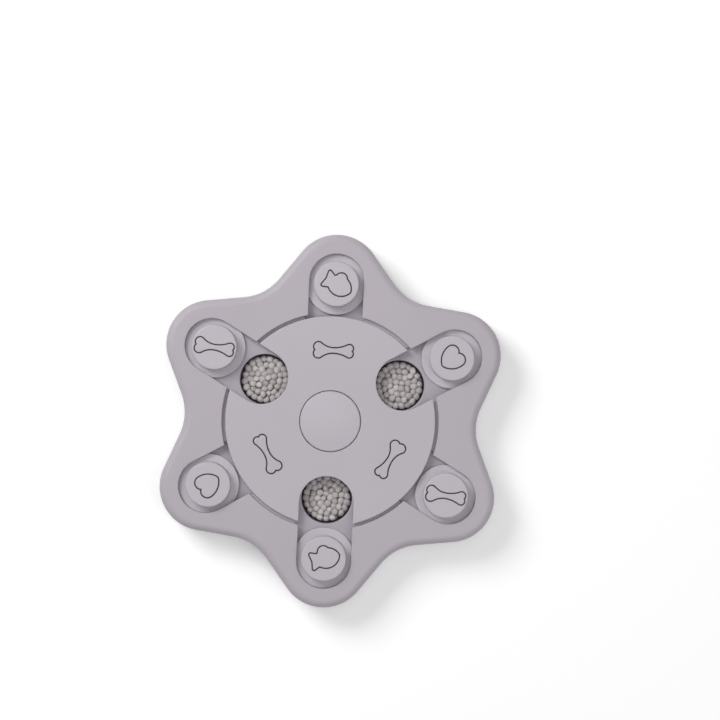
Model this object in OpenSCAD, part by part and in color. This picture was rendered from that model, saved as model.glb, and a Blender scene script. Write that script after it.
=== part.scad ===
// Six-lobed treat puzzle for dogs: a star-shaped housing with six sliding lids round a turntable.
// Origin: centre of the circle of feet, on the surface that the toy stands on. +Z is up.

/* [Outline] */
// Distance from the centre to the tip of a lobe
lobe_reach = 118; // [114:0.5:126]
// Distance from the centre to the bottom of a valley
valley_reach = 92.3; // [90:0.5:96]
// Radius of the rounded lobe tips
lobe_r = 28; // [25:0.5:31]
// Radius of the hollow curve in a valley
valley_r = 33; // [28:0.5:36]
// Radius of the cover's rounded upper edge
rim_round = 5; // [3:0.5:6]
// Wall thickness of the cover's skirt
skirt_wall = 2.5; // [2:0.1:3]

/* [Heights] */
// How far the feet stand below the bottom plate
foot_proud = 1.5; // [1:0.1:3]
// Thickness of the bottom plate
plate_t = 2.2; // [2:0.1:4]
// Thickness of the treat tray's floors
tray_floor = 2; // [1.6:0.1:3]
// Depth of a treat well below the channel that its lid slides in
well_depth = 15.3; // [12:0.1:20]
// Thickness of the cover's deck
deck_t = 3; // [2.4:0.1:4]

/* [Treat wells] */
// Distance from the centre to the middle of a well
well_distance = 48.9; // [47:0.1:50]
// Inside radius of a well
well_r = 16; // [14:0.1:16.5]
// Wall thickness of a well
well_wall = 2; // [1.6:0.1:3]
// Radius of the rounded corner round a well's floor
well_fillet = 4; // [2:0.5:6]
// Height of the heap of kibble's edge above the well's floor
kibble_fill = 12; // [8:0.5:12.5]
// Height of the heap's crown above its edge
kibble_crown = 2.6; // [1:0.1:2.8]

/* [Sliding lids] */
// Distance from the centre to a parked lid's middle
slider_park = 86.5; // [84:0.1:88]
// How far a lid slides inwards to cover its well
slide_travel = 36; // [34:0.1:37]
// Radius of a lid's flange
flange_r = 19.2; // [18.5:0.1:20]
// Half the width across the flange's two guiding flats
flange_half = 18.6; // [17.9:0.1:18.7]
// Thickness of the flange
flange_t = 2.15; // [1.8:0.05:3]
// Radius of a lid's knob
knob_r = 14.2; // [13:0.1:14.6]
// Height of the knob's top above the cover
knob_proud = 4.5; // [3:0.1:7]
// Radius of the knob's rounded edge
knob_round = 1; // [0.8:0.1:2]
// Wall thickness of the hollow knob
lid_wall = 2; // [1.6:0.1:3]
// Room between a knob and the side of its slot
slot_margin = 2.9; // [2.2:0.1:3.2]

/* [Turntable] */
// Radius of the turntable
turntable_r = 66.3; // [65:0.1:67]
// Width of the open ring between the turntable and the cover
ring_gap = 2.1; // [1:0.1:2.6]
// Distance from the centre to the middle of a notch's round end
notch_distance = 51.9; // [51:0.1:53]
// Radius of the turntable's and the cover's softened edges
edge_round = 0.8; // [0.4:0.1:1.2]
// Distance from the centre to a bone emblem on the turntable
bone_distance = 44.7; // [42:0.1:48]

/* [Hub] */
// Inside radius of the hub's cup
cup_r = 12.4; // [11.8:0.1:12.8]
// Outside radius of the hub's post
post_r = 16.6; // [16.2:0.1:17]
// Depth of the turntable's lip below the cover's top
lip_drop = 6.6; // [6:0.1:8]
// Thickness of the turntable's lip
lip_t = 1.2; // [1:0.1:1.6]
// Wall thickness of the turntable's sleeve
sleeve_wall = 1.8; // [1.4:0.1:2.4]
// Thickness of the ring that holds the turntable down
ring_t = 1.5; // [1.3:0.1:2]
// Radius of the squeaker's button
button_r = 19.1; // [18.8:0.1:20]
// How far the button can be pressed
button_travel = 2.5; // [1.5:0.1:3]
// Height of the button's dome above its rim
button_dome = 1.4; // [0.8:0.1:2.5]
// Height of the button's rim
button_rim = 2.8; // [2.4:0.1:4]
// Wall thickness of the button
button_wall = 1.4; // [1.2:0.1:1.8]

/* [Squeaker] */
// Outside radius of the bellows
bellows_r = 8.2; // [7:0.1:8.4]
// Depth of a pleat of the bellows
pleat_depth = 1.5; // [1:0.1:2]
// Wall thickness of the bellows
bellows_wall = 0.9; // [0.6:0.1:1.2]
// Clearance between the button's catch and the cup round it
catch_gap = 0.5; // [0.4:0.1:0.8]
// How far the catch hooks out under the hub ring
catch_hook = 1.7; // [1.2:0.1:1.8]
// Thickness of the catch
catch_t = 1.4; // [1:0.1:2]
// Radius of the reed plug in the hub's floor
reed_r = 4; // [3:0.1:4.8]
// Height of the reed plug above the hub's floor
reed_rise = 3; // [2:0.1:5]
// Width of the reed's slit
reed_slit = 0.8; // [0.4:0.1:1.2]

/* [Fastenings and feet] */
// Distance from a valley's edge to the middle of its cover boss
boss_inset = 12.3; // [10.5:0.1:14]
// Radius of a cover boss
boss_r = 4; // [3.5:0.1:5]
// Radius of a cover screw
screw_r = 1.5; // [1.2:0.1:1.8]
// Length of a cover screw
screw_length = 14; // [10:0.5:18]
// Radius of a hub screw
hub_screw_r = 1; // [0.8:0.05:1.2]
// Length of a hub screw
hub_screw_length = 7; // [5:0.5:9]
// Distance from a lobe's tip to the middle of its foot
foot_inset = 20; // [16:0.5:24]
// Radius of a foot
foot_r = 6; // [4:0.5:8]
// Width of the bevel round a foot's underside
foot_bevel = 0.5; // [0.2:0.1:1]
// Depth of a foot's seat in the bottom plate
foot_seat = 0.8; // [0.5:0.1:1.2]
// Radius of a sound hole under the squeaker
sound_hole_r = 1.4; // [1:0.1:1.8]
// Distance from the centre to the ring of sound holes
sound_ring_r = 6.8; // [5:0.1:9]

/* [Emblems] */
// Length of a fish emblem
fish_l = 20; // [16:0.5:22]
// Width of a heart emblem
heart_w = 14; // [12:0.5:17]
// Length of a bone emblem on a lid
lid_bone_l = 24; // [18:0.2:24.2]
// Width of that bone's big end
lid_bone_big = 9.4; // [8:0.2:9.6]
// Width of its small end
lid_bone_small = 7.6; // [6:0.2:9]
// Width of its waist
lid_bone_waist = 2.7; // [2:0.1:4]
// Length of a bone emblem on the turntable
disc_bone_l = 24.4; // [20:0.2:30]
// Width of that bone's big end
disc_bone_big = 9.6; // [8:0.2:12]
// Width of its small end
disc_bone_small = 7.8; // [6:0.2:10]
// Width of its waist
disc_bone_waist = 2.7; // [2:0.1:4]
// Width of the groove cut round an emblem
groove_w = 0.9; // [0.4:0.1:1]
// Depth of the groove
groove_depth = 0.8; // [0.4:0.1:1.2]
// How far an emblem stands above its surface
emblem_rise = 0.4; // [0.2:0.1:0.8]

/* [Clearances] */
// Side clearance round a piece that moves
run_gap = 0.3; // [0.2:0.05:0.5]
// Clearance under and over a lid's flange
glide_gap = 0.15; // [0.1:0.05:0.3]
// Clearance under the turntable and round its lip
turn_gap = 0.2; // [0.15:0.05:0.3]
// Clearance round a piece that is fixed in another
fit_gap = 0.3; // [0.1:0.05:0.4]
// Clearance round a screw's shank in its pilot hole
thread_gap = 0.02; // [0.01:0.01:0.05]

/* [Hidden] */
$fn = 64;

// Colours
cover_colour = [0.72, 0.70, 0.73];
disc_colour = [0.75, 0.73, 0.76];
lid_colour = [0.77, 0.75, 0.78];
tray_colour = [0.66, 0.64, 0.68];
rubber_colour = [0.25, 0.25, 0.27];
steel_colour = [0.70, 0.71, 0.73];
reed_colour = [0.90, 0.89, 0.88];
kibble_colour = [0.77, 0.72, 0.69];

// The six-fold layout: lid 1 points along +Y and the numbers run clockwise
lobes = 6;
sector = 360 / lobes;
function lobe_angle(i) = 90 - sector * (i - 1);
notched_lobes = [2, 4, 6];
// Where each lid's emblem points, from +X towards +Y
emblem_heading = [-28, 41, -7, 17, 218, -7];

// Heights, from the feet up
plate_top = foot_proud + plate_t;
floor_z = plate_top + tray_floor;
channel_z = floor_z + well_depth;
deck_z = channel_z + flange_t + 2 * glide_gap;
top_z = deck_z + deck_t;
turn_z = deck_z + turn_gap;
tray_z = channel_z - tray_floor;
through = 1;

// Plan sizes that follow from others
opening_r = turntable_r + ring_gap;
slot_half = knob_r + slot_margin;
slot_distance = slider_park + flange_r - slot_half;
tray_inset = skirt_wall + fit_gap;
foot_distance = lobe_reach - foot_inset;
boss_distance = valley_reach - boss_inset;

// Hub, from the lip's seat up
lip_z = top_z - lip_drop - lip_t;
seat_z = lip_z - turn_gap;
ring_z = lip_z + lip_t + turn_gap;
hub_hole_r = button_r + run_gap;
sleeve_r = hub_hole_r + sleeve_wall;
lip_r = post_r + run_gap;
ring_r = hub_hole_r - run_gap;
hub_screw_distance = (cup_r + post_r) / 2;
catch_r = cup_r - catch_gap;
stem_r = catch_r - catch_hook;
button_z = ring_z + ring_t + button_travel + run_gap;
catch_z = ring_z - run_gap - catch_t;
button_top = button_z + button_rim + button_dome;
bellows_top = button_z + button_rim - button_wall;

// ---- Shapes that several pieces share ----

function turned(p, a) = [p.x * cos(a) - p.y * sin(a), p.x * sin(a) + p.y * cos(a)];
function arc(c, r, from, to, steps) =
  [for (i = [0:steps]) let (a = from + (to - from) * i / steps) c + r * [cos(a), sin(a)]];

// The star's outline, moved inwards by inset: lobe and valley arcs joined by their common tangents.
// The valley's curve is at most the one that would meet the lobe's with no flank between them.
lobe_centre = [lobe_reach - lobe_r, 0];
flank_room = pow(lobe_centre.x, 2) + pow(valley_reach, 2)
  - 2 * lobe_centre.x * valley_reach * cos(sector / 2) - pow(lobe_r, 2);
valley_limit = flank_room / (2 * (lobe_r + lobe_centre.x * cos(sector / 2) - valley_reach));
valley_curve = min(valley_r, 0.98 * valley_limit);
valley_centre = (valley_reach + valley_curve) * [cos(sector / 2), sin(sector / 2)];
centre_line = valley_centre - lobe_centre;
tangent_angle = atan2(centre_line.y, centre_line.x) - acos((lobe_r + valley_curve) / norm(centre_line));
lobe_steps = 14;
valley_steps = 6;
function star(inset = 0) = [
  for (i = [1:lobes])
    for (p = concat(
      arc(lobe_centre, lobe_r - inset, -tangent_angle, tangent_angle, lobe_steps),
      arc(valley_centre, valley_curve + inset,
        180 + tangent_angle, 180 + sector - tangent_angle, valley_steps)))
      turned(p, 90 + sector * (i - 1))
];

// A star-shaped block with a rounded upper edge: a straight part, then rings that draw in to the top.
module rounded_star(z0, z1, round_r) {
  steps = 6;
  count = len(star());
  straight_top = z1 - round_r;
  rings = [for (i = [0:steps]) let (a = 90 * i / steps)
    [round_r * (1 - cos(a)), straight_top + round_r * sin(a)]];
  points = concat(
    [for (ring = rings) for (p = star(ring[0])) [p.x, p.y, ring[1]]],
    [[0, 0, straight_top], [0, 0, z1]]);
  under = len(points) - 2;
  over = len(points) - 1;
  sides = [for (row = [0:steps - 1]) for (i = [0:count - 1])
    let (j = (i + 1) % count, low = row * count, high = low + count)
    for (face = [[low + i, high + i, high + j], [low + i, high + j, low + j]]) face];
  caps = [for (i = [0:count - 1])
    let (j = (i + 1) % count, last = steps * count)
    for (face = [[under, i, j], [over, last + j, last + i]]) face];
  translate([0, 0, z0]) linear_extrude(straight_top - z0) polygon(star());
  polyhedron(points = points, faces = concat(sides, caps));
}

// One copy of the children at each of the given lobes, moved outwards by distance.
module at_lobes(which, distance) {
  for (i = which)
    rotate(lobe_angle(i)) translate([distance, 0, 0]) children();
}

// One copy of the children in each valley, moved outwards by distance.
module at_valleys(distance) {
  for (i = [1:lobes])
    rotate(lobe_angle(i) + sector / 2) translate([distance, 0, 0]) children();
}

// A straight run of constant half-width between two round ends.
module run_2d(from, to, r, half) {
  intersection() {
    union() {
      translate([from, 0]) circle(r = r);
      translate([to, 0]) circle(r = r);
      if (to > from)
        translate([from, -r]) square([to - from, 2 * r]);
    }
    translate([from - r - through, -half]) square([to - from + 2 * (r + through), 2 * half]);
  }
}

// A countersunk screw that points along +Z from its head at z = 0.
module screw(r, length) {
  head_r = 1.9 * r;
  head_t = head_r - r;
  slot_w = 0.45 * r;
  difference() {
    union() {
      cylinder(r1 = head_r, r2 = r, h = head_t);
      cylinder(r = r, h = length - r);
      translate([0, 0, length - r]) cylinder(r1 = r, r2 = 0.3 * r, h = r);
    }
    for (a = [0, 90])
      rotate(a) translate([-0.6 * head_r, -slot_w / 2, -through])
        cube([1.2 * head_r, slot_w, through + 0.5 * head_t]);
  }
}

// The hole that a screw of that size needs.
module screw_hole(r, length, gap) {
  head_r = 1.9 * r + gap;
  cylinder(r1 = head_r, r2 = r + gap, h = head_r - r - gap);
  translate([0, 0, -through]) cylinder(r = head_r, h = through);
  cylinder(r = r + gap, h = length + through);
}

// ---- Emblems, each grown outwards by grow ----

// A quarter of a bone's outline, from the middle of its waist to the cleft of an end that lies along +X.
// Its hollow side is the arc that runs smoothly into the ball at that end.
function bone_quarter(half_l, end_w, waist, grow) =
  let (
    ball_r = 0.28 * end_w,
    ball = [half_l - ball_r, end_w / 2 - ball_r],
    rise = ball.y - waist / 2,
    side_r = (ball.x * ball.x + rise * rise - ball_r * ball_r) / (2 * (ball_r + rise)),
    side = [0, waist / 2 + side_r],
    meet = atan2(ball.y - side.y, ball.x),
    cleft = -asin(ball.y / (ball_r + grow)),
    side_arc = arc(side, side_r - grow, -90, meet, 6),
    ball_arc = arc(ball, ball_r + grow, 180 + meet, cleft, 14)
  )
  concat(side_arc, [for (i = [1:len(ball_arc) - 1]) ball_arc[i]]);

// A bone whose big end lies along +X.
module bone_2d(length, big_w, small_w, waist, grow = 0) {
  big = bone_quarter(length / 2, big_w, waist, grow);
  small = bone_quarter(length / 2, small_w, waist, grow);
  last = len(big) - 1;
  polygon(concat(
    big,
    [for (i = [last - 1:-1:0]) [big[i].x, -big[i].y]],
    [for (i = [1:last]) [-small[i].x, -small[i].y]],
    [for (i = [last - 1:-1:1]) [-small[i].x, small[i].y]]
  ));
}

// A heart that points along -Y: two round bumps that meet over the cleft, full sides and a rounded tip.
// Each side is the arc that encloses its bump and the tip's circle and touches both.
module heart_2d(width, grow = 0) {
  bump_r = 0.27 * width;
  tip_r = 0.1 * width;
  side_r = 0.78 * width;
  bump = [width / 2 - bump_r, 0.19 * width];
  tip = [0, -0.43 * width];
  span = tip - bump;
  along = (pow(side_r - bump_r, 2) - pow(side_r - tip_r, 2) + span * span) / (2 * norm(span));
  across = sqrt(pow(side_r - bump_r, 2) - along * along);
  side = bump + (along * span + across * [span.y, -span.x]) / norm(span);
  from = atan2(tip.y - side.y, tip.x - side.x);
  to = atan2(bump.y - side.y, bump.x - side.x);
  cleft = acos(-bump.x / (bump_r + grow));
  side_arc = arc(side, side_r + grow, from, to, 6);
  right = concat(
    arc(tip, tip_r + grow, -90, from, 4),
    [for (i = [1:len(side_arc) - 2]) side_arc[i]],
    arc(bump, bump_r + grow, to, cleft, 18));
  left = [for (i = [len(right) - 2:-1:1]) [-right[i].x, right[i].y]];
  polygon(concat(right, left));
}

// A chubby fish that heads along +X: a lens-shaped body, a back fin and a stubby forked tail.
module fish_2d(length, grow = 0) {
  body_l = 0.79 * length;
  body_h = 0.6 * length;
  side_r = (body_l * body_l + body_h * body_h) / (4 * body_h);
  body_x = (length - body_l) / 2;
  fin = [0.05, 0.22] * length;
  fin_r = 0.17 * length;
  tip_x = -0.365 * length;
  tip_y = 0.23 * length;
  tip_r = 0.035 * length;
  fork_x = -0.36 * length;
  root = [-0.2, 0.2] * length;
  intersection_for (y = [-1, 1])
    translate([body_x, y * (side_r - body_h / 2)]) circle(r = side_r + grow);
  translate(fin) circle(r = fin_r + grow);
  for (y = [-1, 1])
    translate([tip_x, y * tip_y]) circle(r = tip_r + grow);
  polygon([
    [root.x, root.y + grow],
    [tip_x, tip_y + tip_r + grow],
    [tip_x - tip_r - grow, tip_y],
    [fork_x - grow, 0],
    [tip_x - tip_r - grow, -tip_y],
    [tip_x, -tip_y - tip_r - grow],
    [root.x, -root.y - grow],
    [0, 0]
  ]);
}

// ---- Housing ----

module top_cover() {
  color(cover_colour)
  difference() {
    union() {
      difference() {
        rounded_star(foot_proud, top_z, rim_round);
        translate([0, 0, foot_proud - through]) linear_extrude(deck_z - foot_proud + through)
          polygon(star(skirt_wall));
      }
      at_valleys(boss_distance) translate([0, 0, plate_top])
        cylinder(r = boss_r, h = deck_z - plate_top + through);
    }
    translate([0, 0, deck_z - through]) cylinder(r = opening_r, h = deck_t + 2 * through);
    at_lobes([1:lobes], 0) translate([0, 0, deck_z - through]) linear_extrude(deck_t + 2 * through)
      run_2d(opening_r - slot_half, slot_distance, slot_half, slot_half);
    at_valleys(boss_distance) translate([0, 0, foot_proud])
      cylinder(r = screw_r + thread_gap, h = screw_length + through);
  }
}

// The hollow of a well, with a rounded corner round its floor.
module well_pocket() {
  rim_z = well_depth + through;
  rotate_extrude() polygon(concat(
    [[0, 0]],
    arc([well_r - well_fillet, well_fillet], well_fillet, -90, 0, 6),
    [[well_r, rim_z], [0, rim_z]]));
}

module treat_tray() {
  color(tray_colour)
  difference() {
    union() {
      translate([0, 0, tray_z]) linear_extrude(deck_z - tray_z) polygon(star(tray_inset));
      at_lobes([1:lobes], well_distance) translate([0, 0, plate_top])
        cylinder(r = well_r + well_wall, h = tray_z - plate_top + through);
      translate([0, 0, seat_z - tray_floor])
        cylinder(r = sleeve_r + run_gap + well_wall, h = tray_z - seat_z + tray_floor + through);
      translate([0, 0, plate_top]) cylinder(r = post_r, h = seat_z - plate_top);
    }
    at_lobes([1:lobes], 0) translate([0, 0, channel_z]) linear_extrude(deck_z - channel_z + through)
      run_2d(slider_park - slide_travel, slider_park, flange_r + run_gap, flange_half + run_gap);
    at_lobes([1:lobes], well_distance) translate([0, 0, floor_z]) well_pocket();
    difference() {
      translate([0, 0, seat_z]) cylinder(r = sleeve_r + run_gap, h = deck_z - seat_z + through);
      translate([0, 0, seat_z - through]) cylinder(r = post_r, h = ring_z - seat_z + through);
    }
    translate([0, 0, floor_z]) cylinder(r = cup_r, h = deck_z - floor_z);
    translate([0, 0, plate_top - through]) cylinder(r = reed_r + thread_gap, h = tray_floor + 2 * through);
    at_valleys(boss_distance) translate([0, 0, tray_z - through])
      cylinder(r = boss_r + fit_gap, h = deck_z - tray_z + 2 * through);
    hub_screw_places() screw_hole(hub_screw_r, hub_screw_length, thread_gap);
  }
}

module bottom_plate() {
  color(cover_colour)
  difference() {
    translate([0, 0, foot_proud]) linear_extrude(plate_t) polygon(star(tray_inset));
    at_lobes([1:lobes], foot_distance) translate([0, 0, foot_proud - through])
      cylinder(r = foot_r + fit_gap, h = foot_seat + through);
    at_valleys(boss_distance) translate([0, 0, foot_proud]) screw_hole(screw_r, plate_t, fit_gap);
    for (a = [0:sector:359])
      rotate(a) translate([sound_ring_r, 0, foot_proud - through])
        cylinder(r = sound_hole_r, h = plate_t + 2 * through);
    translate([0, 0, foot_proud - through]) cylinder(r = sound_hole_r, h = plate_t + 2 * through);
  }
}

module cover_screws() {
  color(steel_colour)
  at_valleys(boss_distance) translate([0, 0, foot_proud]) screw(screw_r, screw_length);
}

module foot(i) {
  color(rubber_colour)
  at_lobes([i], foot_distance) {
    cylinder(r1 = foot_r - foot_bevel, r2 = foot_r, h = foot_bevel);
    translate([0, 0, foot_bevel]) cylinder(r = foot_r, h = foot_proud + foot_seat - foot_bevel);
  }
}

// ---- Turntable and hub ----

module turntable() {
  color(disc_colour)
  difference() {
    union() {
      rotate_extrude() polygon(concat(
        [[0, turn_z], [turntable_r, turn_z]],
        arc([turntable_r - edge_round, top_z - edge_round], edge_round, 0, 90, 4),
        [[0, top_z]]));
      translate([0, 0, lip_z]) cylinder(r = sleeve_r, h = turn_z - lip_z + edge_round);
      turntable_bones() translate([0, 0, top_z]) linear_extrude(emblem_rise) turntable_bone_2d();
    }
    translate([0, 0, lip_z + lip_t]) cylinder(r = hub_hole_r, h = top_z);
    translate([0, 0, lip_z - through]) cylinder(r = lip_r, h = lip_t + 2 * through);
    at_lobes(notched_lobes, 0) translate([0, 0, turn_z - through])
      linear_extrude(top_z - turn_z + 2 * through)
        run_2d(notch_distance, turntable_r + slot_half, slot_half, slot_half);
    turntable_bones() translate([0, 0, top_z - groove_depth])
      linear_extrude(groove_depth + emblem_rise + through)
        difference() {
          turntable_bone_2d(groove_w);
          turntable_bone_2d();
        }
  }
}

module turntable_bones() {
  at_lobes([1, 3, 5], bone_distance) rotate(90) children();
}

module turntable_bone_2d(grow = 0) {
  bone_2d(disc_bone_l, disc_bone_big, disc_bone_small, disc_bone_waist, grow);
}

module hub_screw_places() {
  for (a = [0, 120, 240])
    rotate(a) translate([hub_screw_distance, 0, ring_z + ring_t]) mirror([0, 0, 1]) children();
}

module hub_ring() {
  color(tray_colour)
  difference() {
    translate([0, 0, ring_z]) cylinder(r = ring_r, h = ring_t);
    translate([0, 0, ring_z - through]) cylinder(r = stem_r + run_gap, h = ring_t + 2 * through);
    hub_screw_places() screw_hole(hub_screw_r, ring_t, thread_gap);
  }
}

module hub_screws() {
  color(steel_colour)
  hub_screw_places() screw(hub_screw_r, hub_screw_length);
}

// ---- Squeaker ----

// A disc with a low dome, carried on a stem whose catch hooks under the hub ring.
module squeaker_button() {
  rim_top = button_z + button_rim;
  stem_inner = stem_r - button_wall;
  dome_r = (button_r * button_r + button_dome * button_dome) / (2 * button_dome);
  dome_half = asin(button_r / dome_r);
  color(lid_colour)
  rotate_extrude() polygon(concat(
    [[button_r, button_z]],
    arc([0, button_top - dome_r], dome_r, 90 - dome_half, 90, 12),
    [
      [0, bellows_top], [stem_inner, bellows_top], [stem_inner, catch_z], [catch_r, catch_z],
      [catch_r, catch_z + catch_t], [stem_r, catch_z + catch_t], [stem_r, rim_top - button_wall],
      [button_r - button_wall, rim_top - button_wall], [button_r - button_wall, button_z]
    ]));
}

// A pleated rubber tube, closed at the top, that stands on the hub's floor round the reed.
module squeaker_bellows() {
  pleats = 5;
  height = bellows_top - floor_z;
  function fold(r) = [for (i = [0:2 * pleats])
    [r - (i % 2) * pleat_depth, bellows_wall + (height - 2 * bellows_wall) * i / (2 * pleats)]];
  inner = fold(bellows_r - bellows_wall);
  color(rubber_colour)
  translate([0, 0, floor_z]) rotate_extrude() polygon(concat(
    [[reed_r + thread_gap, 0], [bellows_r, 0]], fold(bellows_r), [[bellows_r, height], [0, height],
    [0, height - bellows_wall]],
    [for (i = [len(inner) - 1:-1:0]) inner[i]], [[reed_r + thread_gap, bellows_wall]]));
}

module squeaker_reed() {
  slit_l = 1.2 * reed_r;
  color(reed_colour)
  difference() {
    translate([0, 0, plate_top]) cylinder(r = reed_r, h = tray_floor + reed_rise);
    translate([-slit_l / 2, -reed_slit / 2, plate_top - through])
      cube([slit_l, reed_slit, tray_floor + reed_rise + 2 * through]);
  }
}

// ---- Sliding lids ----

// A lid whose emblem is drawn by the children: child 0 is the emblem and child 1 is the same, grown.
module slider(i) {
  flange_z = channel_z + glide_gap;
  knob_top = top_z + knob_proud;
  color(lid_colour)
  at_lobes([i], slider_park)
  difference() {
    union() {
      translate([0, 0, flange_z]) linear_extrude(flange_t) run_2d(0, 0, flange_r, flange_half);
      rotate_extrude() polygon(concat(
        [[0, flange_z], [knob_r, flange_z]],
        arc([knob_r - knob_round, knob_top - knob_round], knob_round, 0, 90, 6),
        [[0, knob_top]]));
      translate([0, 0, knob_top]) linear_extrude(emblem_rise) children(0);
    }
    translate([0, 0, knob_top - groove_depth]) linear_extrude(groove_depth + emblem_rise + through)
      difference() {
        children(1);
        children(0);
      }
    translate([0, 0, flange_z - through])
      cylinder(r = knob_r - lid_wall, h = knob_top - lid_wall - flange_z + through);
  }
}

// Each emblem's heading is given in the toy's own plan, so the lobe's angle is taken off again.
function emblem_turn(i) = emblem_heading[i - 1] - lobe_angle(i);

module fish_slider(i) {
  slider(i) {
    rotate(emblem_turn(i)) fish_2d(fish_l);
    rotate(emblem_turn(i)) fish_2d(fish_l, groove_w);
  }
}

module heart_slider(i) {
  slider(i) {
    rotate(emblem_turn(i) - 90) heart_2d(heart_w);
    rotate(emblem_turn(i) - 90) heart_2d(heart_w, groove_w);
  }
}

module lid_bone_2d(grow = 0) {
  bone_2d(lid_bone_l, lid_bone_big, lid_bone_small, lid_bone_waist, grow);
}

// A bone's heading is that of its small end.
module bone_slider(i) {
  slider(i) {
    rotate(emblem_turn(i) + 180) lid_bone_2d();
    rotate(emblem_turn(i) + 180) lid_bone_2d(groove_w);
  }
}

// ---- Kibble ----

module kibble(i) {
  edge_r = well_r - fit_gap;
  crown_r = (edge_r * edge_r + kibble_crown * kibble_crown) / (2 * kibble_crown);
  crown_half = asin(edge_r / crown_r);
  color(kibble_colour)
  at_lobes([i], well_distance) translate([0, 0, floor_z])
    rotate_extrude() polygon(concat(
      [[0, 0], [well_r - well_fillet, 0]],
      arc([well_r - well_fillet, well_fillet], well_fillet - fit_gap, -90, 0, 4),
      arc([0, kibble_fill + kibble_crown - crown_r], crown_r, 90 - crown_half, 90, 8)));
}

top_cover();
treat_tray();
bottom_plate();
turntable();
hub_ring();
hub_screws();
cover_screws();
squeaker_button();
squeaker_bellows();
squeaker_reed();
fish_slider(1);  // slider_1_fish
heart_slider(2);  // slider_2_heart
bone_slider(3);  // slider_3_bone
fish_slider(4);  // slider_4_fish
heart_slider(5);  // slider_5_heart
bone_slider(6);  // slider_6_bone
foot(1);  // foot_1
foot(2);  // foot_2
foot(3);  // foot_3
foot(4);  // foot_4
foot(5);  // foot_5
foot(6);  // foot_6
kibble(2);  // kibble_well_2
kibble(4);  // kibble_well_4
kibble(6);  // kibble_well_6
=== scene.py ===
import math
import random

import bmesh
import bpy
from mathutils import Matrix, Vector
from mathutils.geometry import tessellate_polygon


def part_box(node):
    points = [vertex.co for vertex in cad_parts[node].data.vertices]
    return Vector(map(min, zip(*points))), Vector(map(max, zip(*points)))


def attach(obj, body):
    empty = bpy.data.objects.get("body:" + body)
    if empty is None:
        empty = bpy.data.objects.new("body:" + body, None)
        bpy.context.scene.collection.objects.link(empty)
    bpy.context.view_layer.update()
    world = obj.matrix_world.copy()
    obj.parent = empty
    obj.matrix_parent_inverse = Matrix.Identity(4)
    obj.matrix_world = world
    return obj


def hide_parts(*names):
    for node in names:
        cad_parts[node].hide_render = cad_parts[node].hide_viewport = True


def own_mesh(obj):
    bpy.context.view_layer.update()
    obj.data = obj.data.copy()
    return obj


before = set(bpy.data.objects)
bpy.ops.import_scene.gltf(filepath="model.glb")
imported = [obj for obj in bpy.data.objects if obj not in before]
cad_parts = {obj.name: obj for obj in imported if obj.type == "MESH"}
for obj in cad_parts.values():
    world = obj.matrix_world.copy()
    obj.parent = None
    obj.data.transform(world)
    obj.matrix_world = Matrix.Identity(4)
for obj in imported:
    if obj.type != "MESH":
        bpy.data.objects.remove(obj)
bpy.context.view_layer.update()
scene = bpy.context.scene
mm = 0.001


# ---- Camera and studio ----
# The toy lies on a plain white table and is seen from straight above, turned a little clockwise.
# Three soft panels light it, the strongest from the upper left, and a pale room fills the shadows.

image_px = 720
px_size = 0.632 * mm
toy_px = Vector((330.2, 421.2))
toy_turn = math.radians(2.7)
deck_height = 23.5 * mm
camera_lens = 120
sensor = 36
white = (1, 1, 1, 1)
room_light = 0.29
table_half = 3.0
table_tone = (0.80, 0.80, 0.80, 1)
glow_by_distance = {"From Min": 0.3, "From Max": 1.5, "To Min": 0.16, "To Max": 0.8}

camera_data = bpy.data.cameras.new("camera")
camera_data.lens = camera_lens
camera_data.sensor_width = sensor
camera = bpy.data.objects.new("camera", camera_data)
image_right = Vector((math.cos(toy_turn), math.sin(toy_turn), 0))
image_up = Vector((-math.sin(toy_turn), math.cos(toy_turn), 0))
camera.location = (image_px / 2 - toy_px.x) * px_size * image_right
camera.location += (toy_px.y - image_px / 2) * px_size * image_up
camera.location.z = deck_height + camera_lens / sensor * image_px * px_size
camera.rotation_euler = (0, 0, toy_turn)
scene.collection.objects.link(camera)
scene.camera = camera
scene.view_settings.view_transform = "Standard"


def soft_panel(name, place, size, power):
    """A square area light that faces the toy."""
    light = bpy.data.lights.new(name, "AREA")
    light.size = size
    light.energy = power
    panel = bpy.data.objects.new(name, light)
    panel.location = place
    panel.rotation_euler = (-Vector(place)).to_track_quat("-Z", "Y").to_euler()
    scene.collection.objects.link(panel)


soft_panel("key_panel", place=(-0.75, 0.65, 0.95), size=0.6, power=10.5)
soft_panel("fill_panel", place=(0.95, -0.5, 1.0), size=0.9, power=3.5)
soft_panel("top_panel", place=(0.15, 0.1, 2.1), size=1.2, power=7.0)


def new_tree(owner):
    """Empties the node tree of a material or world and returns its nodes and links."""
    owner.use_nodes = True
    owner.node_tree.nodes.clear()
    return owner.node_tree.nodes, owner.node_tree.links


def add(nodes, kind, inputs=None, **settings):
    """A new node with its settings, such as its operation, and with the values of its free inputs."""
    node = nodes.new(kind)
    for name, value in settings.items():
        setattr(node, name, value)
    for name, value in (inputs or {}).items():
        node.inputs[name].default_value = value
    return node


def seen_directly(nodes, links):
    """A socket that is 1 for what the camera sees, also in a mirror or through glass, and else 0."""
    path = nodes.new("ShaderNodeLightPath")
    total = path.outputs["Is Camera Ray"]
    for ray in ("Is Glossy Ray", "Is Transmission Ray"):
        either = add(nodes, "ShaderNodeMath", operation="MAXIMUM")
        links.new(total, either.inputs[0])
        links.new(path.outputs[ray], either.inputs[1])
        total = either.outputs["Value"]
    return total


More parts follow.
